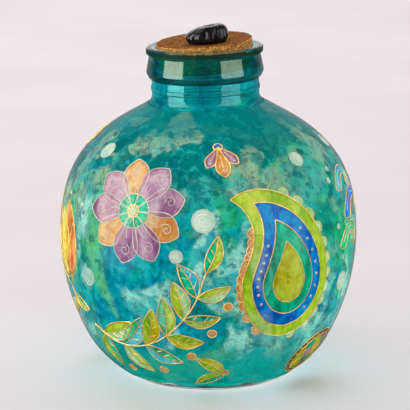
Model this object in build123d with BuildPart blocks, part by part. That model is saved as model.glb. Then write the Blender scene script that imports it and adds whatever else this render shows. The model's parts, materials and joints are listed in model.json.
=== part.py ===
# A round glass jar of the kind sold as a genie bottle, with a cork stopper that has a fluted stone knob.
# The glass is one blown piece: a globe that narrows to a flat foot, a short neck that leans a little,
# a flared collar and a rolled lip. The cork sits crooked in the bore, as it was pushed in by hand.
# Millimetres, +Z up. The origin is the middle of the foot on the table. The front faces -Y.
import os
from math import atan, cos, degrees, hypot, pi, sin

from build123d import *

# Globe
body_radius = 125.0
shoulder_height = 233.0
wall = 4.0
shoulder_wall = 3.8
base_thickness = 8.0
foot_radius = 70.0
foot_width = 10.0
foot_fillet = 2.5
punt_depth = 5.0
# The outline from just above the foot to inside the neck's wall: how far each point lies from the
# neck's radius out to the globe's, and how high, as shares
outline_shares = [
    (0.400, 0.02),
    (0.537, 0.06),
    (0.686, 0.12),
    (0.834, 0.22),
    (0.946, 0.34),
    (1.000, 0.48),
    (0.988, 0.60),
    (0.908, 0.72),
    (0.738, 0.82),
    (0.402, 0.92),
    (0.151, 0.97),
    (-0.011, 1.00),
    (-0.081, 1.01),
]

# Neck, in its own leaning frame, whose origin is on the neck's axis at the shoulder
neck_shift = -2.3
neck_lean = 1.5
neck_height = 45.0
neck_radius = 44.8
neck_wall = 4.4
neck_sink = 14.0
neck_root_fillet = 8.0
bore_sink = 20.0
bore_foot_fillet = 1.5
bead_height_share = 0.222
bead_width = 4.0
bead_proud = 0.7
collar_height_share = 0.413
collar_rise = 5.0
collar_proud = 4.3
collar_fillet = 2.4
collar_root_fillet = 1.2
groove_width = 1.4
groove_proud = 1.5
groove_fillet = 0.6
lip_width = 5.6
lip_proud = 4.0
lip_fillet = 2.6

# Cork stopper, in its own frame, whose origin is the middle of its top
cork_clearance = 0.3
cork_narrowing = 1.2
cork_height = 24.0
cork_rise = 4.4
cork_shift = -0.25
cork_lean = 3.0
cork_tip = 1.0
cork_top_fillet = 0.6
cork_foot_chamfer = 1.2

# Fluted knob, in a frame whose origin is where it is glued to the cork
knob_shift_x = 2.9
knob_shift_y = -17.0
# The oval through the bottoms of the flutes, past which the lobes bulge
flute_oval_length = 36.0
flute_oval_depth = 24.0
lobe_bulge_share = 0.22
# Where each flute falls round the knob, as a share of a full turn from +X: worn ones are uneven
flute_shares = [0.05, 0.16, 0.27, 0.36, 0.44, 0.64, 0.75, 0.81, 0.86]
knob_height = 13.4
knob_crown_lean = 6.0
knob_crown_shift = 2.2
# Sections from the foot to the crown: shares of the height, the plan's size and the crown's shift
knob_section_shares = [
    (0.00, 0.86, 0.0),
    (0.22, 0.97, 0.0),
    (0.50, 1.00, 0.0),
    (0.80, 0.86, 0.4),
    (1.00, 0.54, 1.0),
]
crown_dish_share = 0.40
crown_dish_depth = 0.8

# Adhesive between the knob's foot and the cork
glue_thickness = 0.5
glue_size_share = 0.66


def section_plane(frame):
    """The plane on which a half section in (radius, height) is drawn, for a frame's own axis."""
    return Plane(frame.origin, x_dir=frame.x_dir, z_dir=-frame.y_dir)


def own_axis(frame):
    return Axis(frame.origin, frame.z_dir)


def raised(frame, point, lean=0, tip=0):
    """A frame at a point of another frame: lean lifts its +X side, and tip lifts its +Y side."""
    moved = Plane(frame.from_local_coords(point), x_dir=frame.x_dir, z_dir=frame.z_dir)
    return moved.rotated((tip, -lean, 0))


def dish_radius(span, depth):
    """Radius of the arc whose half chord is span and whose rise is depth."""
    return (span**2 + depth**2) / (2 * depth)


def globe_section(radius, neck, foot, low, high):
    """Half of a globe's section: a domed floor, a flat foot ring, the side and a short flat top."""
    outline = [(neck + r * (radius - neck), low + z * (high - low)) for r, z in outline_shares]
    centre = (0, low + punt_depth)
    ring = (foot - foot_width, low)
    top = (0, outline[-1][1])
    with BuildSketch(Plane.XZ) as section:
        with BuildLine():
            RadiusArc(centre, ring, dish_radius(ring[0], punt_depth))
            Line(ring, (foot, low))
            Spline((foot, low), *outline)
            Polyline(outline[-1], top, centre)
        make_face()
    return section.sketch


def neck_section():
    """Half of the neck's section with its bead, flared collar, groove and rolled lip."""
    low = bead_height - bead_width / 2
    high = bead_height + bead_width / 2
    bead_radius = neck_radius + bead_proud
    bead_fillet = bead_proud / 2
    collar_bottom = neck_height * collar_height_share
    collar_edge = collar_bottom + collar_rise
    collar_radius = neck_radius + collar_proud
    lip_bottom = neck_height - lip_width
    groove_height = lip_bottom - groove_width
    groove_radius = neck_radius + groove_proud
    lip_radius = neck_radius + lip_proud
    corners = [
        (0, -neck_sink, 0),
        (neck_radius, -neck_sink, 0),
        (neck_radius, low, bead_fillet),
        (bead_radius, low + bead_proud, bead_fillet),
        (bead_radius, high - bead_proud, bead_fillet),
        (neck_radius, high, bead_fillet),
        (neck_radius, collar_bottom, collar_root_fillet),
        (collar_radius - collar_fillet, collar_bottom, collar_fillet),
        (collar_radius, collar_edge, collar_fillet),
        (groove_radius, groove_height, groove_fillet),
        (lip_radius, lip_bottom, groove_fillet),
        (lip_radius, neck_height, lip_fillet),
        (0, neck_height, 0),
    ]
    with BuildSketch(section_plane(neck_frame)) as section:
        with BuildLine():
            points = [(r, z) for r, z, _ in corners]
            FilletPolyline(*points, radius=[fillet for _, _, fillet in corners], close=True)
        make_face()
    return section.sketch


def bore_section():
    """Half of the bore's section, with a mouth that rounds outward to the lip's flat top."""
    mouth = (bore_radius + lip_fillet, neck_height)
    with BuildSketch(section_plane(neck_frame)) as section:
        with BuildLine():
            start = (bore_radius, neck_height - lip_fillet)
            Polyline(mouth, (0, neck_height), (0, -bore_sink), (bore_radius, -bore_sink), start)
            TangentArc(start, mouth, tangent=(0, 1))
        make_face()
    return section.sketch


def flute_points(size_share):
    """The bottoms of the flutes at a level whose plan is a share of the full one."""
    length = flute_oval_length / 2 * size_share
    depth = flute_oval_depth / 2 * size_share
    return [(length * cos(2 * pi * turn), depth * sin(2 * pi * turn)) for turn in flute_shares]


def lobed_section(height_share, size_share, shift_share):
    """One level of the knob: an arc that bulges outward between each pair of flutes."""
    point = (knob_crown_shift * shift_share, 0, knob_height * height_share)
    points = flute_points(size_share)
    with BuildSketch(raised(knob_frame, point, knob_crown_lean * height_share)) as section:
        with BuildLine():
            for start, end in zip(points, points[1:] + points[:1]):
                chord = hypot(end[0] - start[0], end[1] - start[1])
                SagittaArc(start, end, -chord * lobe_bulge_share)
        make_face()
    return section.sketch


bore_radius = neck_radius - neck_wall
bead_height = neck_height * bead_height_share
cork_radius = bore_radius - cork_clearance

base_frame = Plane.XY
neck_frame = raised(base_frame, (neck_shift, 0, shoulder_height), neck_lean)
cork_frame = raised(neck_frame, (cork_shift, 0, neck_height + cork_rise), cork_lean, cork_tip)
knob_frame = raised(cork_frame, (knob_shift_x, knob_shift_y, glue_thickness))
crown_frame = raised(knob_frame, (knob_crown_shift, 0, knob_height), knob_crown_lean)


# Glass: the outside of the globe and the neck, less one cavity that runs out through the bore
with BuildPart() as bottle:
    add(globe_section(body_radius, neck_radius, foot_radius, 0, shoulder_height))
    revolve(axis=Axis.Z)
    foot_edges = bottle.edges().filter_by(GeomType.CIRCLE).group_by(Axis.Z)[0]
    fillet(foot_edges, foot_fillet)
    add(neck_section())
    revolve(axis=own_axis(neck_frame))
    root_edges = bottle.edges(Select.LAST).filter_by_position(
        Axis.Z, shoulder_height - neck_sink, shoulder_height + bead_height / 2
    )
    fillet(root_edges, neck_root_fillet)
    inner_height = shoulder_height - shoulder_wall
    inner_radii = (body_radius - wall, neck_radius - wall, foot_radius - wall)
    add(globe_section(*inner_radii, base_thickness, inner_height))
    revolve(axis=Axis.Z, mode=Mode.SUBTRACT)
    add(bore_section())
    revolve(axis=own_axis(neck_frame), mode=Mode.SUBTRACT)
    bore_foot_edges = bottle.edges(Select.LAST).filter_by_position(
        Axis.Z, shoulder_height - bore_sink, shoulder_height
    )
    fillet(bore_foot_edges, bore_foot_fillet)

# Agglomerated cork, slightly tapered
with BuildPart() as cork_stopper:
    with BuildSketch(cork_frame):
        Circle(cork_radius)
    extrude(amount=-cork_height, taper=degrees(atan(cork_narrowing / cork_height)))
    rims = cork_stopper.edges().filter_by(GeomType.CIRCLE).sort_by(Axis.Z)
    fillet(rims[-1], cork_top_fillet)
    chamfer(rims[0], cork_foot_chamfer)

# Adhesive pad
with BuildPart() as knob_glue:
    with BuildSketch(knob_frame):
        Ellipse(flute_oval_length / 2 * glue_size_share, flute_oval_depth / 2 * glue_size_share)
    extrude(amount=-glue_thickness)

# Polished stone knob
with BuildPart() as stone_knob:
    for height_share, size_share, shift_share in knob_section_shares:
        add(lobed_section(height_share, size_share, shift_share))
    loft()
    dish = dish_radius(flute_oval_depth / 2 * crown_dish_share, crown_dish_depth)
    with Locations(crown_frame.from_local_coords((0, 0, dish - crown_dish_depth))):
        Sphere(dish, mode=Mode.SUBTRACT)

bottle.part.label = "bottle"
cork_stopper.part.label = "cork_stopper"
knob_glue.part.label = "knob_glue"
stone_knob.part.label = "stone_knob"

os.makedirs("parts", exist_ok=True)
export_step(bottle.part, "parts/bottle.step")
export_step(cork_stopper.part, "parts/cork_stopper.step")
export_step(knob_glue.part, "parts/knob_glue.step")
export_step(stone_knob.part, "parts/stone_knob.step")
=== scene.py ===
# A hand-painted glass jar with a cork stopper and a fluted stone knob, dressed over the packed
# model. Metres in the frame and millimetres in the flat motifs. +Z is up and the front faces -Y.
# The painted motifs are a generic set of garden ornaments, laid out all round the globe.
import json
from math import cos, degrees, pi, radians, sin

import bmesh
import bpy
import numpy as np
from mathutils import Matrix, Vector, noise
from mathutils.geometry import delaunay_2d_cdt


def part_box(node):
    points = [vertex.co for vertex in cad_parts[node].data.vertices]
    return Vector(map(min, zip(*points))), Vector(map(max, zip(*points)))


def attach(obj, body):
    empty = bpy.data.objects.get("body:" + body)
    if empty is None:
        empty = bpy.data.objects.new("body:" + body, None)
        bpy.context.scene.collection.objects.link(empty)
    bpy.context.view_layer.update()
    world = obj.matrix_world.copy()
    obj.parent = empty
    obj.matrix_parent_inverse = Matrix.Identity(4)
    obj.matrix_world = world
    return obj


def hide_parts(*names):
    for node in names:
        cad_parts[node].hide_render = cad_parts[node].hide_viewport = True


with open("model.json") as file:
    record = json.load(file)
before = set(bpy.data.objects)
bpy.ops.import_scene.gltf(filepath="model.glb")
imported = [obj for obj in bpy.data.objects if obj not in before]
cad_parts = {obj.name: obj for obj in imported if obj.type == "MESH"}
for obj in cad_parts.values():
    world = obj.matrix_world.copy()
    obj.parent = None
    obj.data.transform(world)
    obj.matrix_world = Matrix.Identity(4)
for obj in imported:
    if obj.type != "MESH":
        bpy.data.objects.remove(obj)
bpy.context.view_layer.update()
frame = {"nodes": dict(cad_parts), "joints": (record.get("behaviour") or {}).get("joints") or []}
scene = bpy.context.scene

MM = 0.001
FRONT = -90.0

# Camera: the photograph's viewing angle, framing and perspective
CAMERA_DISTANCE = 1.8
CAMERA_RISE = 12.98
CAMERA_AIM = Vector((-0.00296, 0.0, 0.1411))
CAMERA_LENS = 186.7

# Paint layers: how far each stands off the glass, in millimetres
WASH_LIFT = 0.08
FILL_LIFT = 0.22
FILL_STEP = 0.05
LINE_LIFT = 0.18

# Shapes, in millimetres: steps along a curve and along a line, how far apart a fill's inner points
# lie and how far in from its outline they start, and how far in its paint's depth is told
CURVE_STEP = 1.6
LINE_STEP = 1.2
FILL_GRID = 3.2
FILL_MARGIN = FILL_GRID * 0.45
POOL_REACH = 12.0

# Outliner lines: widths in millimetres, points across the half-round bead, its height to half its
# width, how much and how finely it wavers, and how much and how far from its ends it swells
LINE_WIDTH = 0.85
FINE_WIDTH = 0.6
BEAD_SIDES = 5
BEAD_HEIGHT = 0.85
BEAD_WAVER = 0.22
BEAD_WAVER_SCALE = 160
BEAD_SWELL = 0.25
BEAD_SWELL_PLACE = 1.4

# Outliner dots: points round each, its height and its rings' radii as shares of its radius
DOT_SIDES = 10
DOT_HEIGHT = 0.55
DOT_RINGS = (1.0, 0.75, 0.4)

# Globe: its middle as a share of the jar's height, which points its outline is fitted to, as
# shares of its radius and in metres above the table, and the fit's degree
GLOBE_MIDDLE = 0.40
FIT_BESIDE = 0.42
FIT_TOP = 0.90
FIT_FOOT = 0.004
FIT_DEGREE = 18

# Washes, in metres: where they start above the table, the neck's length, where its bands start
# above its root, how much neighbours overlap, and how far down and how upward the bare mouth is
WASH_FOOT = 0.0035
NECK_LENGTH = 0.045
WASH_JOIN = -0.003
COLLAR_RISE = 0.0178
GROOVE_RISE = 0.0396
JOIN_OVERLAP = 0.002
BAND_OVERLAP = 0.001
MOUTH_DEPTH = 0.004
MOUTH_UPWARD = 0.62

# Cork: points round it, and in millimetres how much narrower its foot is, how far in its flat top
# ends, its edge's rounding in and down, how far in chips reach, and its surface's most and least
# wear
CORK_SIDES = 360
CORK_TAPER = 1.2
CORK_EDGE = 0.7
CORK_ROUND = (0.2, 0.25)
CHIP_REACH = 2.0
DEEPEST_WEAR = 0.7
LEAST_WEAR = 0.05
# Its granules, lumps, swells and chips: how fine they are, and how deep
GRANULE_STRETCH = 1.7
GRANULES = 420
SEAM_WIDTH = 0.12
SEAM_DEPTH = 0.16
LUMPS = 300
SWELLS = 130
LUMP_DEPTH = 0.10
CHIPS = 210
CHIP_START = 0.12
CHIP_DEPTH = 2.6

# World: its colour, its strength towards the camera's side, behind and overhead, and how far
# back, as a cosine, it starts to brighten and is brightest
WORLD_COLOUR = (1.0, 0.975, 0.99, 1.0)
WORLD_FRONT = 0.03
WORLD_BACK = 0.96
WORLD_ZENITH = 0.08
BACK_STARTS = 0.45
BACK_FULL = 0.90

# Floor: how far it reaches each way from the jar, and its cells each way
FLOOR_REACH = 9.0
FLOOR_CELLS = 24

# Softboxes: how far out and how high their middles are, how tall they are, and each one's name,
# degrees round from the front, width and watts
BOX_DISTANCE = 1.7
BOX_MIDDLE = 0.58
BOX_HEIGHT = 2.3
BOXES = [
    ("box_left", -67, 1.4, 60.0),
    ("box_right", 56, 1.5, 38.0),
]

# Lamps behind and above: name, place, aim, width, depth and watts
LAMPS = [
    ("back_light", (0.0, 2.6, 2.4), (0.0, 1.6, 0.0), 4.6, 3.0, 38.0),
    ("top_light", (-1.6, 0.2, 3.4), (-1.6, 0.2, 0.0), 8.0, 8.0, 318.0),
]


# Colour and node helpers
def rgb(red, green, blue):
    """A display colour of 0 to 255, by the sRGB curve, as a linear colour with alpha."""
    shares = [channel / 255 for channel in (red, green, blue)]
    linear = [c / 12.92 if c < 0.04045 else ((c + 0.055) / 1.055) ** 2.4 for c in shares]
    return (*linear, 1.0)


class Graph:
    """A material's or the world's node tree, with short calls for the nodes used here."""

    def __init__(self, owner, turn=0.0, coordinates="Object"):
        self.owner = owner
        owner.use_nodes = True
        self.tree = owner.node_tree
        self.tree.nodes.clear()
        place = self.node("TexCoord").outputs[coordinates]
        values = {"Vector": place, "Rotation": (0, 0, radians(turn))}
        self.place = self.out("Mapping", values)

    def node(self, kind, inputs=None, **settings):
        made = self.tree.nodes.new("ShaderNode" + kind)
        for key, value in settings.items():
            setattr(made, key, value)
        for key, value in (inputs or {}).items():
            if isinstance(value, bpy.types.NodeSocket):
                self.tree.links.new(value, made.inputs[key])
            else:
                made.inputs[key].default_value = value
        return made

    def out(self, *what, **settings):
        """The first output of a new node."""
        return self.node(*what, **settings).outputs[0]

    def noise(self, scale, detail=4.0, rough=0.55, warp=0.0, stretch=(1, 1, 1), shift=0.0):
        values = {"Vector": self.place, "Scale": stretch, "Location": (shift,) * 3}
        values = {"Vector": self.out("Mapping", values), "Scale": scale, "Detail": detail}
        values |= {"Roughness": rough, "Distortion": warp}
        return self.node("TexNoise", values).outputs["Fac"]

    def cells(self, scale, stretch, output="Distance", feature="F1"):
        mapped = self.out("Mapping", {"Vector": self.place, "Scale": stretch})
        values = {"Vector": mapped, "Scale": scale}
        return self.node("TexVoronoi", values, feature=feature).outputs[output]

    def dabs(self, scale, radius, share, shift, stretch, tilt, soft=0.06):
        """Rounded dabs of a brush on a share of the places, pushed out of true by noise."""
        values = {"Vector": self.place, "Scale": scale * 0.8, "Detail": 3.0}
        push = self.node("TexNoise", values).outputs["Color"]
        push = self.out("VectorMath", {0: push, "Scale": 0.9 / scale}, operation="SCALE")
        place = self.out("VectorMath", {0: self.place, 1: push}, operation="ADD")
        values = {"Vector": place, "Location": (shift,) * 3, "Rotation": (0.0, tilt, 0.0)}
        values["Scale"] = [1 / length for length in stretch]
        mapped = self.out("Mapping", values, vector_type="TEXTURE")
        found = self.node("TexVoronoi", {"Vector": mapped, "Scale": scale}).outputs
        near = self.window(found["Distance"], radius + soft, radius - soft)
        return self.times(near, self.math("LESS_THAN", self.red(found["Color"]), share))

    def ramp(self, value, stops):
        made = self.node("ValToRGB", {"Fac": value})
        elements = made.color_ramp.elements
        while len(elements) < len(stops):
            elements.new(0.5)
        for element, (place, colour) in zip(elements, stops):
            element.position = place
            element.color = colour
        return made.outputs["Color"]

    def window(self, value, low, high, start=0.0, end=1.0):
        """A smooth run from start to end as the value runs from low to high."""
        values = {"Value": value, "From Min": low, "From Max": high}
        values |= {"To Min": start, "To Max": end}
        return self.out("MapRange", values, interpolation_type="SMOOTHSTEP")

    def math(self, operation, first, second):
        return self.out("Math", {0: first, 1: second}, operation=operation)

    def times(self, first, second):
        return self.math("MULTIPLY", first, second)

    def plus(self, first, second):
        return self.math("ADD", first, second)

    def mix(self, share, first, second, blend="MIX"):
        values = {0: share, 6: first, 7: second}
        return self.node("Mix", values, data_type="RGBA", blend_type=blend).outputs[2]

    def over(self, colour, paint, *run):
        """A colour with paint over it, whose share is a window on a value."""
        return self.mix(self.window(*run), colour, paint)

    def red(self, colour):
        return self.out("SeparateColor", {0: colour})

    def height(self):
        return self.node("SeparateXYZ", {0: self.place}).outputs[2]

    def upward(self):
        """How far the surface faces up, from -1 to 1."""
        return self.node("SeparateXYZ", {0: self.node("NewGeometry").outputs["Normal"]}).outputs[2]

    def bump(self, value, distance, strength):
        return self.out("Bump", {"Height": value, "Distance": distance, "Strength": strength})

    def blend(self, share, first, second):
        return self.out("MixShader", {0: share, 1: first, 2: second})

    def clear(self, colour):
        return self.out("BsdfTransparent", {"Color": colour})

    def principled(self, colour, rough, others):
        return self.out("BsdfPrincipled", {"Base Color": colour, "Roughness": rough, **others})

    def lit_through(self, shader, shade):
        """The shader, but clear and tinted to the rays that cast shadows."""
        shadow = self.node("LightPath").outputs["Is Shadow Ray"]
        return self.blend(shadow, shader, self.clear(shade))

    def finish(self, shader, output="OutputMaterial"):
        self.tree.links.new(shader, self.node(output).inputs["Surface"])
        return self.owner


def new_material(name, turn=0.0):
    return Graph(bpy.data.materials.new(name), turn)


# Materials
def clear_glass():
    """Slightly green blown glass. Light passes straight through it, so the inside is lit."""
    g = new_material("clear_glass")
    ripple = g.bump(g.noise(22, 2.0, stretch=(1, 1, 0.6)), 0.0012, 0.5)
    others = {"IOR": 1.48, "Transmission Weight": 1.0, "Normal": ripple}
    glass = g.principled(rgb(222, 246, 244), 0.01, others)
    return g.finish(g.lit_through(glass, rgb(254, 255, 255)))


def lit_paint(g, colour, stain, coverage, normal, rough=0.14, through=0.40, sheen=0.014, rim=0.35,
              cast=rgb(214, 206, 212), shade=rgb(242, 251, 253)):
    """Glass paint: cloudy colour over a clear stain, under a gloss that grows towards the rim,
    with a painted dark rim where the glass is seen edge-on. Surfaces that face down have no
    gloss. Lamps shine through, tinted by the shade."""
    body = g.out("BsdfDiffuse", {"Color": colour, "Normal": normal})
    glow = g.out("BsdfTranslucent", {"Color": colour, "Normal": normal})
    cloudy = g.blend(coverage, g.clear(stain), g.blend(through, body, glow))
    facing = g.node("LayerWeight", {"Blend": 0.5}).outputs["Facing"]
    # Painted shade: a dark clear tint at the rim, standing in for the dark surroundings that
    # edge-on glass refracts
    painted_dark_rim = g.window(facing, 0.78, 0.92, 0.0, 0.6)
    painted = g.blend(painted_dark_rim, cloudy, g.clear(rgb(92, 112, 104)))
    mirror = g.principled(cast, rough, {"Metallic": 1.0, "Normal": normal})
    grazing = g.times(g.math("POWER", facing, 5.0), rim)
    gloss = g.times(g.plus(grazing, sheen), g.window(g.upward(), -0.75, -0.30))
    return g.finish(g.lit_through(g.blend(gloss, painted, mirror), shade))


# Patches of the globe's wash in the order of painting: the noise's scale and shift, the edge and
# its softness, the paint, and how much of it the belly and the shoulder get
WASH_PATCHES = [
    (11, 0.31, 0.455, 0.080, rgb(0, 188, 178), 1.00, 0.80),
    (13, 0.77, 0.520, 0.070, rgb(50, 194, 116), 0.92, 0.40),
    (15, 1.13, 0.535, 0.060, rgb(0, 150, 192), 0.92, 0.40),
    (14, 1.71, 0.450, 0.050, rgb(0, 122, 122), 0.25, 1.00),
    (24, 2.30, 0.540, 0.030, rgb(0, 104, 110), 0.35, 0.95),
    (20, 2.90, 0.530, 0.060, rgb(176, 230, 214), 0.90, 0.00),
    (22, 3.60, 0.555, 0.045, rgb(168, 182, 146), 0.00, 0.85),
    (17, 4.20, 0.560, 0.070, rgb(128, 206, 116), 0.75, 0.15),
    (30, 5.10, 0.545, 0.050, rgb(0, 178, 190), 0.80, 0.30),
]

# Dabs over the patches: scale, radius, share of the places, shift, length to width, tilt in
# radians, and paint, belly and shoulder as above
WASH_DABS = [
    (58, 0.30, 0.34, 3.7, 2.2, -0.50, rgb(0, 84, 90), 0.12, 0.90),
    (34, 0.34, 0.26, 5.3, 3.0, -0.65, rgb(0, 128, 136), 0.10, 0.75),
    (34, 0.34, 0.26, 8.9, 3.0, 0.75, rgb(150, 188, 164), 0.10, 0.75),
]


def globe_wash_material():
    """Turquoise wash in watery patches with frayed edges over a pale ground: cyan, green and blue,
    with sandy gaps and brush dabs at the shoulder."""
    g = new_material("globe_wash_paint", 180)
    height = g.height()
    shoulder = g.window(height, 0.14, 0.20)
    ground = [(0.38, rgb(120, 214, 208)), (0.50, rgb(176, 226, 214)), (0.62, rgb(196, 230, 206))]
    colour = g.ramp(g.noise(13, 5.0, rough=0.65, warp=1.0), ground)
    sand = g.times(g.noise(9, 2.0), g.window(height, 0.11, 0.17, 0.3, 2.0))
    colour = g.over(colour, rgb(168, 176, 138), sand, 0.3, 0.7, 0.0, 0.95)
    fray = g.noise(75, 4.0, rough=0.7, warp=0.6, shift=0.5)
    fray = g.times(g.math("SUBTRACT", fray, 0.5), 0.16)
    streaks = g.noise(60, 5.0, rough=0.65, warp=0.8, stretch=(1, 1, 0.25), shift=0.12)
    relief = streaks
    for scale, shift, edge, soft, paint, belly, top in WASH_PATCHES:
        field = g.noise(scale, 2.5, rough=0.5, warp=0.7, stretch=(1, 1, 0.75), shift=shift)
        patch = g.window(g.plus(field, fray), edge, edge + soft)
        colour = g.mix(g.times(patch, g.window(shoulder, 0.0, 1.0, belly, top)), colour, paint)
        relief = g.plus(relief, g.times(patch, 0.12))
    for scale, radius, share, shift, length, tilt, paint, belly, top in WASH_DABS:
        dab = g.dabs(scale, radius, share, shift, (1, 1, length), tilt)
        colour = g.mix(g.times(dab, g.window(shoulder, 0.0, 1.0, belly, top)), colour, paint)
    colour = g.over(colour, rgb(0, 126, 140), streaks, 0.43, 0.52, 0.30, 0.0)
    colour = g.over(colour, rgb(40, 208, 184), streaks, 0.54, 0.66, 0.0, 0.30)
    sponge = g.noise(130, 4.0, rough=0.7, warp=0.4, shift=0.21)
    colour = g.over(colour, rgb(0, 98, 108), sponge, 0.38, 0.50, 0.60, 0.0)
    colour = g.over(colour, rgb(70, 220, 206), sponge, 0.53, 0.64, 0.0, 0.45)
    ring = g.window(g.plus(height, g.times(fray, 0.20)), 0.204, 0.218)
    colour = g.mix(g.times(ring, 0.6), colour, rgb(0, 136, 138))
    base = g.window(height, 0.060, 0.022)
    colour = g.mix(g.times(base, 0.85), colour, rgb(0, 164, 150))
    grain = g.noise(420, 3.0, rough=0.7)
    colour = g.over(colour, rgb(0, 90, 100), grain, 0.35, 0.62, 0.20, 0.0)
    # Pale paint is thicker than deep paint
    coverage = g.window(g.red(colour), 0.02, 0.40, 0.56, 0.76)
    coverage = g.plus(coverage, g.times(base, 0.08))
    relief = g.plus(relief, g.times(grain, 0.3))
    stain = g.mix(0.25, colour, rgb(20, 232, 222))
    normal = g.bump(relief, 0.0006, 0.35)
    return lit_paint(g, colour, stain, coverage, normal, through=0.36, sheen=0.008)


# Each band of the neck: name, from and to what height above its root, tint, share of brown,
# coverage, gloss straight on and at the rim, and the gloss's cast
NECK_WASHES = [
    ("neck_wash", WASH_JOIN, COLLAR_RISE + BAND_OVERLAP,
     rgb(255, 252, 252), 0.0, 0.34, 0.058, 0.12, rgb(150, 220, 206)),
    ("collar_wash", COLLAR_RISE, GROOVE_RISE + BAND_OVERLAP,
     rgb(255, 206, 200), 0.0, 0.16, 0.086, 0.12, rgb(204, 216, 188)),
    ("lip_wash", GROOVE_RISE, NECK_LENGTH,
     rgb(255, 100, 86), 0.10, 0.60, 0.002, 0.20, rgb(190, 210, 200)),
]


def neck_wash_material(name, tint, brown, coverage, sheen, rim, cast):
    """Thin glossy cyan, in strokes that run round the neck and a few runs down it, tinted, browned
    where the cork shows through, and darkened by painted shade under the collar and the lip,
    where the faces look down."""
    g = new_material(name + "_paint")
    across = g.noise(50, 5.0, rough=0.65, warp=0.7, stretch=(0.45, 0.45, 1.8), shift=0.2)
    down = g.noise(80, 3.0, rough=0.6, warp=0.4, stretch=(1.2, 1.2, 0.18), shift=0.9)
    strokes = g.plus(g.times(across, 0.5), g.times(down, 0.5))
    colour = g.ramp(strokes, [
        (0.40, rgb(0, 116, 146)),
        (0.47, rgb(0, 172, 192)),
        (0.54, rgb(0, 214, 224)),
        (0.62, rgb(60, 236, 234)),
    ])
    colour = g.mix(1.0, colour, tint, "MULTIPLY")
    colour = g.mix(brown, colour, rgb(104, 98, 44))
    # Painted shade: faces that look down, under the collar and the lip, get dark green and thicker
    # cover
    painted_shade_below = g.window(g.upward(), -0.15, -0.50)
    colour = g.mix(g.times(painted_shade_below, 0.85), colour, rgb(2, 44, 34))
    cover = g.window(strokes, 0.38, 0.62, coverage, coverage * 0.4)
    cover = g.math("MAXIMUM", cover, g.times(painted_shade_below, 0.8))
    normal = g.bump(strokes, 0.0003, 0.3)
    return lit_paint(g, colour, colour, cover, normal, 0.015, 0.5, sheen, rim, cast)


# Paints: dark, main and light
PAINTS = {
    "lime": (rgb(96, 142, 14), rgb(162, 188, 26), rgb(210, 216, 76)),
    "lemon": (rgb(160, 142, 8), rgb(204, 188, 26), rgb(222, 216, 96)),
    "mint": (rgb(112, 176, 110), rgb(170, 208, 150), rgb(216, 232, 196)),
    "emerald": (rgb(0, 112, 82), rgb(0, 172, 120), rgb(14, 210, 156)),
    "blue": (rgb(0, 60, 152), rgb(0, 104, 214), rgb(0, 152, 236)),
    "aqua": (rgb(0, 132, 162), rgb(20, 180, 198), rgb(104, 218, 222)),
    "peach": (rgb(178, 94, 40), rgb(222, 150, 82), rgb(238, 190, 132)),
    "mauve": (rgb(112, 62, 100), rgb(164, 108, 144), rgb(210, 166, 180)),
    "pearl": (rgb(132, 180, 168), rgb(198, 214, 196), rgb(236, 234, 214)),
    "umber": (rgb(44, 28, 22), rgb(92, 62, 42), rgb(140, 98, 62)),
}

# Outliners: dark, light, share of metal and roughness
OUTLINERS = {
    "gold": (rgb(190, 138, 58), rgb(248, 210, 120), 0.4, 0.34),
    "pearl": (rgb(138, 148, 132), rgb(190, 188, 168), 0.15, 0.42),
}


def paint_material(name, dark, main, light):
    """A filled shape: strokes from dark to light, deeper next to its outline, with a skin."""
    g = new_material("paint_" + name)
    strokes = g.noise(34, 5.0, rough=0.6, warp=1.2, stretch=(1, 1, 0.35), shift=0.4)
    colour = g.ramp(strokes, [(0.38, dark), (0.49, main), (0.61, light)])
    thin = g.noise(26, 3.0, rough=0.5, warp=0.8, stretch=(1, 1, 0.6), shift=0.7)
    pale = g.mix(0.5, light, rgb(216, 226, 206))
    colour = g.over(colour, pale, thin, 0.52, 0.62, 0.0, 0.42)
    mottle = g.noise(150, 4.0, rough=0.7, warp=0.4, shift=0.33)
    colour = g.over(colour, dark, mottle, 0.38, 0.50, 0.40, 0.0)
    colour = g.over(colour, light, mottle, 0.53, 0.65, 0.0, 0.45)
    edge = g.node("Attribute", attribute_name="edge").outputs["Fac"]
    colour = g.over(colour, dark, edge, 0.0, 0.22, 0.55, 0.0)
    grain = g.noise(380, 3.0, rough=0.7)
    colour = g.over(colour, dark, grain, 0.35, 0.6, 0.12, 0.0)
    relief = g.plus(g.times(strokes, 0.6), g.times(grain, 0.4))
    coverage = g.window(strokes, 0.35, 0.65, 0.94, 0.82)
    shade = tuple((c + 1) / 2 for c in light)
    return lit_paint(g, colour, light, coverage, g.bump(relief, 0.0005, 0.35), shade=shade)


def outliner_material(name, dark, light, metal, rough):
    """Raised outliner: a squeezed bead of metallic or pearl paint."""
    g = new_material("outliner_" + name)
    colour = g.ramp(g.noise(160, rough=0.6), [(0.35, dark), (0.62, light)])
    normal = g.bump(g.noise(700, 2.0), 0.0002, 0.5)
    return g.finish(g.principled(colour, rough, {"Metallic": metal, "Normal": normal}))


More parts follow.
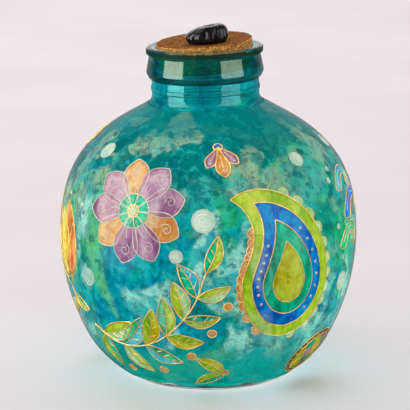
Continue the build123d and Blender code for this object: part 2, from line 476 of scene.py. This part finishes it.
def cork_material():
    """Pressed cork granules in several browns, dark flecks and seams, and painted shade on top."""
    g = new_material("pressed_cork")
    tone = g.red(g.cells(780, (1, 1, 1.6), "Color"))
    colour = g.ramp(tone, [
        (0.00, rgb(96, 55, 20)),
        (0.30, rgb(146, 96, 38)),
        (0.65, rgb(178, 124, 54)),
        (1.00, rgb(232, 176, 92)),
    ])
    flecks = g.window(g.noise(700, 3.0, rough=0.6, warp=0.4), 0.60, 0.68)
    colour = g.mix(g.times(flecks, 0.8), colour, rgb(44, 24, 12))
    seams = g.cells(780, (1, 1, 1.6), feature="DISTANCE_TO_EDGE")
    colour = g.over(colour, rgb(64, 36, 16), seams, 0.0, 0.10, 0.55, 0.0)
    colour = g.over(colour, rgb(86, 50, 24), g.noise(60, 3.0), 0.35, 0.65, 0.25, 0.0)
    # Painted shade: the top, which faces up, is darker and browner than the sides
    top = g.window(g.upward(), 0.5, 0.9)
    colour = g.mix(top, colour, rgb(172, 150, 107), "MULTIPLY")
    relief = g.math("SUBTRACT", tone, g.times(flecks, 1.5))
    others = {"Specular IOR Level": 0.2, "Normal": g.bump(relief, 0.0004, 0.8)}
    return g.finish(g.principled(colour, 0.82, others))


def stone_material():
    """Polished black stone with faint grey clouds and shallow upright ripples."""
    g = new_material("black_stone")
    clouds = g.noise(140, 5.0, rough=0.6, warp=0.5)
    colour = g.ramp(clouds, [(0.42, rgb(6, 5, 7)), (0.70, rgb(30, 28, 30))])
    rough = g.window(clouds, 0.3, 0.7, 0.03, 0.09)
    ripples = g.noise(290, 1.0, stretch=(1, 1, 0.15), shift=0.81)
    others = {"IOR": 1.36, "Normal": g.bump(ripples, 0.0020, 0.7)}
    return g.finish(g.principled(colour, rough, others))


def glue_material():
    """Set adhesive, amber and a little cloudy."""
    g = new_material("set_glue")
    colour = g.ramp(g.noise(300, 3.0), [(0.4, rgb(150, 112, 62)), (0.6, rgb(206, 176, 120))])
    return g.finish(g.principled(colour, 0.25, {"Normal": g.bump(g.noise(250, 2.0), 0.0006, 0.6)}))


def floor_material():
    """Pale matt paper."""
    g = new_material("pale_paper")
    colour = g.ramp(g.noise(3, 2.0), [(0.4, rgb(206, 198, 201)), (0.6, rgb(209, 202, 204))])
    return g.finish(g.principled(colour, 0.75, {"Specular IOR Level": 0.2}))


# Flat shapes, in millimetres
def smooth(points, closed=False):
    """A Catmull-Rom curve through a few points, sampled about every CURVE_STEP."""
    p = np.array(points, float)
    if closed:
        line = np.vstack([p[-1], p, p[0], p[1]])
    else:
        line = np.vstack([2 * p[0] - p[1], p, 2 * p[-1] - p[-2]])
    out = []
    for a, b, c, d in zip(line, line[1:], line[2:], line[3:]):
        count = max(2, int(np.linalg.norm(c - b) / CURVE_STEP))
        t = np.arange(count)[:, None] / count
        out.append(0.5 * (2 * b + (c - a) * t + (2 * a - 5 * b + 4 * c - d) * t**2
                          + (3 * b - a - 3 * c + d) * t**3))
    if not closed:
        out.append(p[-1:])
    return np.vstack(out)


def moved(points, turn=0.0, shift=(0, 0), size=1.0):
    """The points scaled, turned anticlockwise by degrees, then shifted."""
    a = radians(turn)
    matrix = np.array([[cos(a), -sin(a)], [sin(a), cos(a)]])
    return np.asarray(points, float) * size @ matrix.T + np.array(shift, float)


def oval(across, up=None, count=40):
    t = np.linspace(0, 2 * pi, count, endpoint=False)
    return np.c_[across * np.cos(t), (up or across) * np.sin(t)]


def spiral(radius, turns):
    """A spiral from 0.12 of its radius outward."""
    t = np.linspace(0, 1, int(26 * turns) + 2)
    r, a = radius * (0.12 + 0.88 * t), 2 * pi * turns * t
    return np.c_[r * np.cos(a), r * np.sin(a)]


def petal(length, width, fullness):
    """A closed petal from the origin upward, widest towards its far end as fullness grows."""
    t = (1 - np.cos(np.linspace(0, pi, max(14, int(length / 1.2))))) / 2
    half = width / 2 * np.abs(np.sin(pi * t**fullness)) ** 0.8
    side = np.c_[half, length * t]
    return np.vstack([side, side[-2:0:-1] * (-1, 1)])


class Motif:
    """Filled shapes, outlines and dots on a flat sheet, in the order of painting."""

    def __init__(self):
        self.fills, self.lines, self.dots = [], [], []

    def fill(self, paint, outline, relief="gold", width=LINE_WIDTH, level=0):
        """Fills an outline with paint, and draws the outline unless relief is None."""
        self.fills.append((paint, np.asarray(outline, float), level))
        if relief:
            self.line(outline, relief, width, True)

    def line(self, points, relief="gold", width=FINE_WIDTH, closed=False):
        self.lines.append((relief, np.asarray(points, float), width, closed))

    def dot(self, point, radius, relief="gold"):
        self.dots.append((relief, np.asarray(point, float), radius))

    def add(self, other, turn=0.0, shift=(0, 0), size=1.0, mirrored=False):
        """Puts another motif into this one."""
        mirror = (-1.0, 1.0) if mirrored else (1.0, 1.0)

        def at(points):
            return moved(points * np.array(mirror), turn, shift, size)

        self.fills += [(paint, at(outline), level) for paint, outline, level in other.fills]
        for relief, points, width, closed in other.lines:
            self.lines.append((relief, at(points), width, closed))
        self.dots += [(relief, at(point), radius * size) for relief, point, radius in other.dots]
        return self


# Motifs
def paisley():
    """A bent drop with nested bands, a scalloped border, rows of dots and a curl in the middle."""
    length, half_width, nose, bend = 128.0, 37.0, 0.34, 105.0
    t = np.linspace(0, 1, 400)
    heading = np.radians(90 + bend * t**2.2)
    ahead = np.c_[np.cos(heading), np.sin(heading)]
    spine = np.cumsum(ahead, axis=0) * length / len(t)
    across = np.c_[-np.sin(heading), np.cos(heading)]

    def point(side, along, share):
        """A point on one side of the ring that is a share of the full drop."""
        u = nose + (along - nose) * share
        if along < nose:
            bulge = 1 - (1 - along / nose) ** 2
        else:
            bulge = (1 - ((along - nose) / (1 - nose)) ** 1.5) ** 2
        index = min(int(u * len(t)), len(t) - 1)
        return spine[index] + across[index] * side * half_width * share * max(bulge, 0) ** 0.5

    def ring(share):
        steps = np.linspace(0.0, 1.0, 64) ** 1.3
        there = [point(1, a, share) for a in steps]
        return np.array(there + [point(-1, a, share) for a in steps[-2:0:-1]])

    made = Motif()
    for along in np.linspace(0.03, 0.76, 12):
        for side, paint in ((1, "peach"), (-1, "mint")):
            tangent = (point(side, along + 0.01, 1.0) - point(side, along - 0.01, 1.0)) * side
            slant = degrees(np.arctan2(tangent[1], tangent[0]))
            scallop = moved(oval(4.4, count=24)[:13], slant, point(side, along, 1.0))
            made.fill(paint, scallop, None)
            made.line(scallop)
    bands = [(1.0, "lime"), (0.80, "blue"), (0.57, "emerald"), (0.36, "lemon")]
    for level, (share, paint) in enumerate(bands, 1):
        made.fill(paint, ring(share), level=level)
    for along in np.linspace(0.12, 0.72, 8):
        for side in (1, -1):
            made.dot(point(side, along, 0.685), 1.3, "pearl")
    made.line(moved(spiral(6.5, 1.6), 0, point(1, nose, 0.02)))
    return Motif().add(made, 0, -np.mean(ring(1.0), axis=0))


def rosette():
    """Nine petals with a curl on each, round a green eye."""
    count, reach, rays = 9, 37.0, 11
    made = Motif()
    for i in range(count):
        part = Motif()
        paint = "mauve" if i % 3 else "peach"
        part.fill(paint, petal(reach, 20.0, 1.7), "pearl", level=i % 3)
        part.line([(0, 9), (1.2, 15), (0, 20)], "pearl")
        part.line(moved(spiral(4.2, 1.5), 90, (0, reach * 0.74)), "pearl")
        made.add(part, 360 / count * i)
    made.fill("emerald", oval(11.5), "pearl", level=3)
    for i in range(rays):
        made.line(moved([(0, 5.2), (0, 10)], 360 / rays * i), "pearl")
    made.fill("lemon", oval(4.2, count=20), level=4)
    return made


def leaf(length, width, left="emerald", right="lime"):
    """A pointed leaf in two tones with a midrib and veins."""
    made = Motif()
    t = np.linspace(0, 1, max(12, int(length / 1.8)))
    half = width / 2 * np.sin(pi * t) ** 0.85 * (1.15 - 0.3 * t)
    beside = np.c_[half, 0 * t]
    rib = np.c_[2.2 * np.sin(pi * t), length * t]
    for side, paint in ((-1, left), (1, right)):
        made.fill(paint, np.vstack([rib + side * beside, rib[-2:0:-1]]), None)
    outline = np.vstack([rib - beside, (rib + beside)[-2:0:-1]])
    made.line(outline, "gold", LINE_WIDTH, True)
    made.line(rib)
    for share in (0.28, 0.50, 0.70):
        start = rib[int(share * len(t))]
        reach, rise = np.interp(share + 0.14, t, half) * 0.8, 0.14 * length
        for side in (-1, 1):
            vein = [start, start + (side * reach * 0.5, rise * 0.42), start + (side * reach, rise)]
            made.line(vein)
    return made


def spray():
    """A curved stem with paired leaves and berries."""
    stem = smooth([(-52, -6), (-30, -16), (-6, -16), (18, -6), (40, 12), (54, 34)])
    made = Motif()
    made.line(stem, "gold", LINE_WIDTH * 1.15)
    tones = [("emerald", "lime"), ("lime", "mint"), ("emerald", "aqua"), ("lime", "lemon")]
    joints = (0.10, 0.25, 0.40, 0.55, 0.70, 0.85)

    def at(share):
        """The stem's point at a share of its length, and the way ahead from there."""
        k = int(share * (len(stem) - 1))
        return stem[k], stem[k + 1] - stem[k]

    for i, share in enumerate(joints):
        start, ahead = at(share)
        heading = degrees(np.arctan2(ahead[1], ahead[0])) - 90
        for side, extra in ((1, 4), (-1, 0)):
            length = 31 - 7 * share + extra
            part = leaf(length, length * 0.42, *tones[(i + (side > 0)) % len(tones)])
            made.add(part, heading + side * 52, start)
    made.add(leaf(28, 12), -28, stem[-1])
    for share in joints[:-1]:
        start, ahead = at(share)
        ahead = ahead / np.linalg.norm(ahead)
        aside = np.array([ahead[1], -ahead[0]])
        made.fill("peach", oval(3.2, count=18) + start + ahead * 26 + aside * 20)
    return made


def bud():
    """A tulip-like flower in layered petals, on a short stalk."""
    made = Motif()
    back = [(0, 0), (22, 14), (27, 40), (14, 62), (0, 46), (-14, 62), (-27, 40), (-22, 14)]
    made.fill("peach", smooth(back, True))
    middle = [(0, 2), (13, 16), (13, 38), (0, 58), (-13, 38), (-13, 16)]
    made.fill("lemon", smooth(middle, True), level=1)
    wing = np.array([(0, 0), (16, 4), (27, 22), (25, 44), (17, 30), (6, 16)], float)
    for side, paint in ((1, "peach"), (-1, "lime")):
        made.fill(paint, smooth(wing * (side, 1), True), level=2)
    for shift in (-5, 0, 5):
        made.line([(shift, 22), (shift * 0.7, 34), (shift * 0.3, 44)])
    cup = [(-9, 3), (0, -7), (9, 3), (5, 7), (0, 3), (-5, 7)]
    made.fill("emerald", smooth(cup, True), level=3)
    made.line(smooth([(0, -7), (2, -18), (-2, -32)]), "gold", LINE_WIDTH)
    made.add(leaf(26, 11), -128, (1, -14)).add(leaf(24, 10, "lime", "mint"), 122, (1, -20))
    for angle in (-34, -12, 12, 34):
        made.dot(moved([(0, 70)], angle)[0], 1.5)
    return Motif().add(made, 0, (0, -22))


def medallion():
    """An oval lattice whose cells bulge like a quilted button, inside a beaded rim."""
    across, up, cells, beads = 24.0, 19.0, 4, 22
    made = Motif()
    made.fill("umber", oval(across + 4.5, up + 4.5))

    def at(u, v):
        return (across * u * (1 - v * v / 2) ** 0.5, up * v * (1 - u * u / 2) ** 0.5)

    marks = np.linspace(-1, 1, cells + 1)
    paints = ("lime", "mauve", "lemon", "emerald")
    for i in range(cells):
        for j in range(cells):
            a, b, c, d = marks[i], marks[i + 1], marks[j], marks[j + 1]
            corners = [(a, c), (b, c), (b, d), (a, d)]
            sides = zip(corners, corners[1:] + corners[:1])
            cell = [at(*spot) for start, end in sides for spot in np.linspace(start, end, 5)[:-1]]
            made.fill(paints[(i + 2 * j) % len(paints)], cell, None, level=1)
    for mark in marks[1:-1]:
        span = np.linspace(-1, 1, 24)
        made.line([at(mark, v) for v in span])
        made.line([at(u, mark) for u in span])
    made.line(oval(across, up), "gold", LINE_WIDTH, True)
    for spot in oval(across + 2.4, up + 2.4, beads):
        made.dot(spot, 0.9)
    return made


def crests():
    """Three rolling crests, each a crescent that ends in a curl, among pale drops."""
    made = Motif()
    crest = [(-26, -10), (-18, 8), (0, 20), (18, 16), (24, 2), (16, -6),
             (8, 0), (12, 6), (6, 10), (-6, 4), (-12, -10)]
    ridge = [(-20, -6), (-10, 9), (3, 14), (15, 10), (19, 2)]
    rolls = [((0, 22), 0.8, "aqua"), ((10, -4), 1.0, "blue"), ((-8, -32), 0.85, "emerald")]
    for shift, size, paint in rolls:
        part = Motif()
        part.fill(paint, smooth(crest, True))
        part.line(smooth(ridge))
        part.line(moved(spiral(5.5, 1.4), 200, (15, 1.5)), "pearl")
        made.add(part, -12, shift, size)
    for place in ((-30, 30), (-22, 40), (30, 26), (-34, -14), (28, -30)):
        made.fill("pearl", oval(2.6, count=16) + place, "pearl", FINE_WIDTH)
    return made


def drops():
    """Three pendant drops that hang from a bead."""
    made = Motif()
    for turn, size, paint in ((-34, 0.85, "mauve"), (0, 1.1, "peach"), (34, 0.85, "mauve")):
        part = Motif()
        part.fill(paint, petal(30, 12, 1.8))
        part.line([(0, 8), (0, 22)])
        part.dot((0, 24), 1.2, "pearl")
        made.add(part, turn, (0, 0), size)
    made.fill("blue", oval(4.2, count=20), level=1)
    return Motif().add(made, 180, (0, 14))


def bubble():
    """A pale disc with a swirl scratched into it."""
    radius = 9.0
    made = Motif()
    made.fill("pearl", oval(radius, count=28), "pearl", FINE_WIDTH)
    made.line(spiral(radius * 0.8, 2.4), "pearl")
    return made


def pair():
    """Two leaves that spread from a berry."""
    made = Motif()
    made.add(leaf(32, 13), 38).add(leaf(32, 13, "lime", "lemon"), -38)
    made.fill("peach", oval(3.6, count=18))
    return made


# Each place: motif, degrees round from the front, degrees above the globe's middle, turn, size,
# and True where it is mirrored
PLACES = [
    (paisley, 27, 1, -14, 1.12),
    (rosette, -30, 22, 10, 1.15),
    (spray, -26, -22, 8, 1.15),
    (bud, -72, 0, 14, 1.0),
    (medallion, 58, -40, 20, 0.92),
    (crests, 72, 18, 0, 0.85),
    (drops, 6, 43, 8, 0.85),
    (pair, 8, -43, 95, 0.9),
    (bubble, -2, 20, 0, 1.0),
    (bubble, -12, 7, 40, 0.6),
    (bubble, -52, -6, 80, 0.8),
    (bubble, 63, -10, 20, 0.9),
    (bubble, 45, 40, 10, 0.7),
    (bubble, -58, 42, 70, 0.8),
    (rosette, 106, -2, 30, 1.0),
    (spray, 132, -26, -14, 0.9, True),
    (paisley, 158, 4, 16, 0.9, True),
    (medallion, -172, -36, -12, 0.95),
    (bud, -158, 8, -10, 0.85, True),
    (paisley, -116, 4, -22, 0.72),
    (crests, -128, -34, 0, 0.7, True),
    (rosette, -138, 34, 0, 0.62),
    (drops, 118, 42, -6, 0.85),
    (pair, -92, -42, 80, 0.9),
    (drops, -96, 44, 10, 0.75),
    (bubble, 134, 24, 0, 0.8),
    (bubble, -178, 36, 30, 1.0),
    (bubble, -140, -6, 60, 0.8),
    (bubble, 88, -40, 15, 0.9),
    (bubble, 84, 42, 25, 0.7),
    (bubble, -88, -16, 25, 0.7),
]


# Meshes
def lengths(vectors):
    return np.linalg.norm(vectors, axis=-1)


def run_along(line):
    return np.r_[0, np.cumsum(lengths(np.diff(line, axis=0)))]


def read(mesh):
    """A mesh's points and its normals there."""
    points = np.array([v.co for v in mesh.vertices])
    return points, np.array([v.normal for v in mesh.vertices])


def quads(rows, columns, ring_rows=False, ring_columns=False):
    """Faces between rows of points, which may close into rings either way."""
    faces = []
    for i in range(rows if ring_rows else rows - 1):
        j = (i + 1) % rows
        for k in range(columns if ring_columns else columns - 1):
            n = (k + 1) % columns
            faces.append((i * columns + k, j * columns + k, j * columns + n, i * columns + n))
    return faces


def cad_mesh(name):
    return frame["nodes"][name].data


def link(name, data):
    made = bpy.data.objects.new(name, data)
    scene.collection.objects.link(made)
    return made


def coat(mesh, material):
    mesh.materials.clear()
    mesh.materials.append(material)


def dress(name, mesh, material, body="jar"):
    """Makes a piece of a mesh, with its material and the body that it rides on."""
    coat(mesh, material)
    piece = link(name, mesh)
    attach(piece, body)
    return piece


class Layer:
    """One piece's mesh while it is being put together."""

    def __init__(self):
        self.points, self.faces, self.edges = [], [], []

    def add(self, points, faces, edge=None):
        """Adds points and faces, and how far in from its outline each point of a fill lies."""
        start = len(self.points)
        self.points += [tuple(p) for p in points]
        self.faces += [tuple(start + i for i in face) for face in faces]
        self.edges += list(edge) if edge is not None else [1.0] * len(points)

    def piece(self, name, material):
        mesh = bpy.data.meshes.new(name)
        mesh.from_pydata(self.points, [], self.faces)
        mesh.validate()
        values = mesh.attributes.new("edge", "FLOAT", "POINT")
        values.data.foreach_set("value", self.edges)
        mesh.shade_smooth()
        dress(name, mesh, material)


# Laying paint on the globe
class Globe:
    """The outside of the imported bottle's globe: how far from its middle it lies, by elevation."""

    def __init__(self, bottle):
        low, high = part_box(bottle)
        self.radius = (high.x - low.x) / 2
        self.centre = np.array([0, 0, high.z * GLOBE_MIDDLE])
        points, normals = read(cad_mesh(bottle))
        points = points - self.centre
        beside = np.hypot(points[:, 0], points[:, 1])
        wanted = (points * normals).sum(axis=1) > 0
        wanted &= (beside > FIT_BESIDE * self.radius) & (points[:, 2] < FIT_TOP * self.radius)
        wanted &= points[:, 2] > FIT_FOOT - self.centre[2]
        elevation = np.arctan2(points[wanted, 2], beside[wanted])
        reach = lengths(points[wanted])
        self.reach = np.polynomial.Polynomial.fit(elevation, reach, FIT_DEGREE)
        self.slope = self.reach.deriv()

    def lay(self, points, azimuth, elevation, lift):
        """Flat points, rolled onto the globe about a place and lifted, and the normals there."""
        a, e = radians(azimuth + FRONT), radians(elevation)
        out = np.array([cos(a) * cos(e), sin(a) * cos(e), sin(e)])
        right = np.array([-sin(a), cos(a), 0.0])
        up = np.array([-cos(a) * sin(e), -sin(a) * sin(e), cos(e)])
        flat = np.asarray(points, float).reshape(-1, 2) * MM
        span = np.maximum(np.hypot(flat[:, :1], flat[:, 1:]), 1e-9)
        bearing = (flat[:, :1] * right + flat[:, 1:] * up) / span
        turn = span / self.radius
        ray = out * np.cos(turn) + bearing * np.sin(turn)
        rise = np.arcsin(ray[:, 2:])
        rising = np.c_[-ray[:, :2] * np.tan(rise), np.maximum(np.cos(rise), 1e-6)]
        reach = ray * self.reach(rise)
        normal = reach - rising * self.slope(rise)
        normal /= lengths(normal)[:, None]
        return self.centre + reach + normal * (lift * MM), normal


def filled(outline):
    """Triangles inside an outline, with a grid of inner points so that they can follow a curved
    surface, and how far in each point lies, as a share of POOL_REACH."""
    low, high = outline.min(axis=0), outline.max(axis=0)
    xs = np.arange(low[0] + FILL_GRID / 2, high[0], FILL_GRID)
    ys = np.arange(low[1] + FILL_GRID / 2, high[1], FILL_GRID)
    grid = np.array([(x, y) for x in xs for y in ys]).reshape(-1, 2)
    if len(grid):
        gaps = lengths(grid[:, None] - outline[None]).min(axis=1)
        grid = grid[gaps > FILL_MARGIN]
    both = np.vstack([outline, grid])
    made = delaunay_2d_cdt([Vector(p) for p in both], [], [list(range(len(outline)))], 1, 1e-5)
    points, faces = np.array([tuple(v) for v in made[0]]), made[2]
    used = sorted({i for face in faces for i in face})
    place = {old: new for new, old in enumerate(used)}
    points = points[used]
    away = lengths(points[:, None] - outline[None]).min(axis=1)
    return points, [[place[i] for i in face] for face in faces], np.minimum(away / POOL_REACH, 1.0)


def spaced(points, closed):
    """The same line with points evenly spaced, about LINE_STEP apart."""
    line = np.vstack([points, points[:1]]) if closed else points
    run = run_along(line)
    marks = np.linspace(0, run[-1], max(4, int(run[-1] / LINE_STEP)))
    out = np.c_[np.interp(marks, run, line[:, 0]), np.interp(marks, run, line[:, 1])]
    return out[:-1] if closed else out


def bead(path, normals, width, closed):
    """A half-round bead along a path, a little uneven as squeezed by hand, with rounded ends."""
    if closed:
        along = np.roll(path, -1, axis=0) - np.roll(path, 1, axis=0)
    else:
        along = np.gradient(path, axis=0)
    along /= np.maximum(lengths(along), 1e-12)[:, None]
    beside = np.cross(along, normals)
    waver = [noise.noise(Vector(p) * BEAD_WAVER_SCALE) for p in path]
    size = 1 + BEAD_WAVER * np.array(waver)
    if not closed:
        run = run_along(path)
        end = np.minimum(run, run[-1] - run) / (width * MM / 2)
        size *= np.sqrt(np.clip(1 - (1 - np.minimum(end, 1)) ** 2, 0.0, 1)) + 0.02
        size *= 1 + BEAD_SWELL * np.exp(-((end - BEAD_SWELL_PLACE) ** 2))
    half = (width * MM / 2 * size)[:, None]
    sides = []
    for angle in (pi * k / (BEAD_SIDES - 1) for k in range(BEAD_SIDES)):
        sides.append(path + beside * half * cos(angle) + normals * half * BEAD_HEIGHT * sin(angle))
    points = np.stack(sides, axis=1).reshape(-1, 3)
    return points, quads(len(path), BEAD_SIDES, closed)


def dome(globe, point, place, radius):
    """A low dome of outliner: rings of points, and one on top."""
    points = []
    for share in DOT_RINGS:
        lift = LINE_LIFT + DOT_HEIGHT * radius * (1 - share**2)
        ring, _ = globe.lay(oval(radius * share, count=DOT_SIDES) + point, *place, lift)
        points += list(ring)
    top, _ = globe.lay(point, *place, LINE_LIFT + DOT_HEIGHT * radius)
    faces = [(a, d, c, b) for a, b, c, d in quads(len(DOT_RINGS), DOT_SIDES, ring_columns=True)]
    inner = (len(DOT_RINGS) - 1) * DOT_SIDES
    for k in range(DOT_SIDES):
        faces.append((inner + k, inner + (k + 1) % DOT_SIDES, inner + DOT_SIDES))
    return points + list(top), faces


def paint_motifs(globe):
    """Lays every motif on the globe, with one piece for each paint and each outliner."""
    fills = {name: Layer() for name in PAINTS}
    reliefs = {name: Layer() for name in OUTLINERS}
    for make, azimuth, elevation, turn, size, *mirrored in PLACES:
        place = (azimuth, elevation)
        motif = Motif().add(make(), turn, (0, 0), size, *mirrored)
        for paint, outline, level in motif.fills:
            points, faces, edge = filled(outline)
            laid, _ = globe.lay(points, *place, FILL_LIFT + FILL_STEP * level)
            fills[paint].add(laid, faces, edge)
        for relief, line, width, closed in motif.lines:
            path, normals = globe.lay(spaced(line, closed), *place, LINE_LIFT)
            reliefs[relief].add(*bead(path, normals, width, closed))
        for relief, point, radius in motif.dots:
            reliefs[relief].add(*dome(globe, point, place, radius))
    for name, layer in fills.items():
        layer.piece("paint_" + name, paint_material(name, *PAINTS[name]))
    for name, layer in reliefs.items():
        layer.piece("outline_" + name, outliner_material(name, *OUTLINERS[name]))


# Washes over the glass
def neck_height(points):
    """Height of the bottle's points above the root of the neck, along the neck's own axis."""
    along = points @ np.array(frame["joints"][0]["axis"])
    return along - along.max() + NECK_LENGTH


def skin(name, keep, material):
    """A skin of paint: the bottle's points that keep() accepts, lifted along their normals."""
    mesh = cad_mesh("bottle").copy()
    mesh.name = name
    points, normals = read(mesh)
    wanted = keep(points, normals)
    lifted = points + normals * (WASH_LIFT * MM)
    mesh.vertices.foreach_set("co", lifted.astype(np.float32).ravel())
    work = bmesh.new()
    work.from_mesh(mesh)
    spare = [v for v in work.verts if not wanted[v.index]]
    bmesh.ops.delete(work, geom=spare, context="VERTS")
    work.to_mesh(mesh)
    work.free()
    dress(name, mesh, material)


def washes(globe):
    """Lays a wash on the globe and on each band of the neck."""
    def on_globe(points, normals):
        outside = ((points - globe.centre) * normals).sum(axis=1) > 0
        below = neck_height(points) < WASH_JOIN + JOIN_OVERLAP
        return outside & below & (points[:, 2] > WASH_FOOT)

    def on_neck(low, high):
        def keep(points, normals):
            outside = (points[:, :2] * normals[:, :2]).sum(axis=1) > 0
            rise = neck_height(points)
            mouth = (rise > NECK_LENGTH - MOUTH_DEPTH) & (normals[:, 2] > MOUTH_UPWARD)
            return outside & (rise > low) & (rise < high) & ~mouth

        return keep

    skin("globe_wash", on_globe, globe_wash_material())
    for name, low, high, *look in NECK_WASHES:
        skin(name, on_neck(low, high), neck_wash_material(name, *look))


# Stopper
def cork_rings(radius, depth):
    """How far out and how far down each ring of the cork's points lies, from its top's middle."""
    foot = radius - CORK_TAPER * MM
    rings = [(radius * s, 0.0) for s in np.linspace(0.02, 1 - CORK_EDGE * MM / radius, 42)]
    rings.append((radius - CORK_ROUND[0] * MM, -CORK_ROUND[1] * MM))
    sides = np.r_[np.linspace(0.03, 0.30, 15), np.linspace(0.34, 0.97, 15)]
    rings += [(radius + (foot - radius) * s, -depth * s) for s in sides]
    return rings + [(foot * s, -depth) for s in (0.97, 0.7, 0.4, 0.1)]


def cork_wear(spot, from_edge):
    """How deep the cork is worn at a spot: seams, lumps, swells, and chips near its top edge."""
    place = Vector(spot * (1, 1, GRANULE_STRETCH))
    nearest, second = noise.voronoi(place * GRANULES)[0][:2]
    seam = max(0.0, SEAM_WIDTH - (second - nearest)) / SEAM_WIDTH
    lump = noise.cell(place * LUMPS) * LUMP_DEPTH
    swell = noise.noise(place * SWELLS) * LUMP_DEPTH
    near = 1 - min(1.0, from_edge / (CHIP_REACH * MM))
    chip = max(0.0, noise.noise(place * CHIPS) - CHIP_START) * near * CHIP_DEPTH
    worn = (SEAM_DEPTH * seam + (lump + swell) + chip + LEAST_WEAR) * MM
    return min(max(worn, 0.0), DEEPEST_WEAR * MM)


def cork_piece():
    """Pressed cork with uneven granules and a chipped edge, as large as the solid it replaces."""
    mesh = cad_mesh("cork_stopper")
    points, _ = read(mesh)
    level = [p for p in mesh.polygons if p.normal.z > 0.99]
    axis = sum((p.normal * p.area for p in level), Vector()).normalized()
    up = np.array(axis)
    heights = points @ up
    top = points[heights > heights.max() - 1e-5]
    centre = (top.max(axis=0) + top.min(axis=0)) / 2
    depth = heights.max() - heights.min()
    right = np.array(Vector((1, 0, 0)) - axis * axis.x)
    right /= np.linalg.norm(right)
    forward = np.cross(up, right)
    beside = points - centre - np.outer((points - centre) @ up, up)
    radius = lengths(beside).max()
    rings = cork_rings(radius, depth)
    made = []
    for reach, drop in rings:
        on_side = drop and reach > 0.9 * (radius - CORK_TAPER * MM)
        from_edge = -drop if drop else abs(reach - radius)
        for k in range(CORK_SIDES):
            angle = 2 * pi * k / CORK_SIDES
            ray = right * cos(angle) + forward * sin(angle)
            spot = centre + ray * reach + up * drop
            made.append(spot - (ray if on_side else up) * cork_wear(spot, from_edge))
    faces = quads(len(rings), CORK_SIDES, ring_columns=True)
    faces.append(tuple(range(CORK_SIDES)))
    faces.append(tuple((len(rings) - 1) * CORK_SIDES + k for k in reversed(range(CORK_SIDES))))
    new = bpy.data.meshes.new("cork_body")
    new.from_pydata([tuple(p) for p in made], [], faces)
    new.shade_smooth()
    piece = dress("cork_body", new, cork_material(), "stopper")
    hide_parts("cork_stopper")


# Stage, light and camera
def stage_floor():
    mesh = bpy.data.meshes.new("floor")
    work = bmesh.new()
    bmesh.ops.create_grid(work, x_segments=FLOOR_CELLS, y_segments=FLOOR_CELLS, size=FLOOR_REACH)
    work.to_mesh(mesh)
    work.free()
    coat(mesh, floor_material())
    ground = link("floor", mesh)
    # Gloss mirrors the lamps, which reach below the floor, and not the floor
    ground.visible_glossy = False
    return ground


def studio_world():
    """A dim room that is bright behind the jar and a little brighter overhead."""
    g = Graph(bpy.data.worlds.new("studio"), coordinates="Generated")
    _, back, above = g.node("SeparateXYZ", {0: g.place}).outputs
    behind = g.window(back, BACK_STARTS, BACK_FULL, WORLD_FRONT, WORLD_BACK)
    overhead = g.out("MapRange", {"Value": above, "To Max": WORLD_ZENITH})
    values = {"Color": WORLD_COLOUR, "Strength": g.plus(behind, overhead)}
    return g.finish(g.out("Background", values), "OutputWorld")


def stand(holder, place, aim):
    """Puts a lamp or a camera at a place, turned towards its aim."""
    holder.location = place
    holder.rotation_euler = (Vector(aim) - Vector(place)).to_track_quat("-Z", "Y").to_euler()


def area_light(name, place, aim, width, height, power):
    """A rectangular lamp that the camera doesn't see."""
    light = bpy.data.lights.new(name, "AREA")
    light.shape = "RECTANGLE"
    light.size, light.size_y = width, height
    light.energy = power
    holder = link(name, light)
    stand(holder, place, aim)
    holder.visible_camera = False
    return holder


def studio(globe):
    ground = stage_floor()
    scene.world = studio_world()
    # The softboxes cut through the floor, so they light everything but the floor
    lit = bpy.data.collections.new("lit_by_softboxes")
    lit.objects.link(ground)
    lit.collection_objects[0].light_linking.link_state = "EXCLUDE"
    for name, turn, width, power in BOXES:
        a = radians(turn + FRONT)
        place = (BOX_DISTANCE * cos(a), BOX_DISTANCE * sin(a), BOX_MIDDLE)
        box = area_light(name, place, globe.centre, width, BOX_HEIGHT, power)
        box.light_linking.receiver_collection = lit
    for settings in LAMPS:
        lamp = area_light(*settings)
        # It is neither mirrored nor seen through the glass
        lamp.visible_glossy = False
        lamp.visible_transmission = False
        # Diffuse light from it is sampled by shadow rays alone, which the paint lets through
        lamp.data.cycles.use_multiple_importance_sampling = False
    scene.view_settings.view_transform = "Standard"
    scene.cycles.transparent_max_bounces = 16
    scene.cycles.max_bounces = 14
    scene.cycles.transmission_bounces = 12
    scene.cycles.caustics_reflective = False


def camera():
    data = bpy.data.cameras.new("camera")
    data.lens = CAMERA_LENS
    data.clip_end = 100
    holder = link("camera", data)
    rise = radians(CAMERA_RISE)
    stand(holder, CAMERA_AIM + CAMERA_DISTANCE * Vector((0, -cos(rise), sin(rise))), CAMERA_AIM)
    scene.camera = holder


globe = Globe("bottle")
coat(cad_mesh("bottle"), clear_glass())
coat(cad_mesh("stone_knob"), stone_material())
coat(cad_mesh("knob_glue"), glue_material())
washes(globe)
paint_motifs(globe)
cork_piece()
studio(globe)
camera()
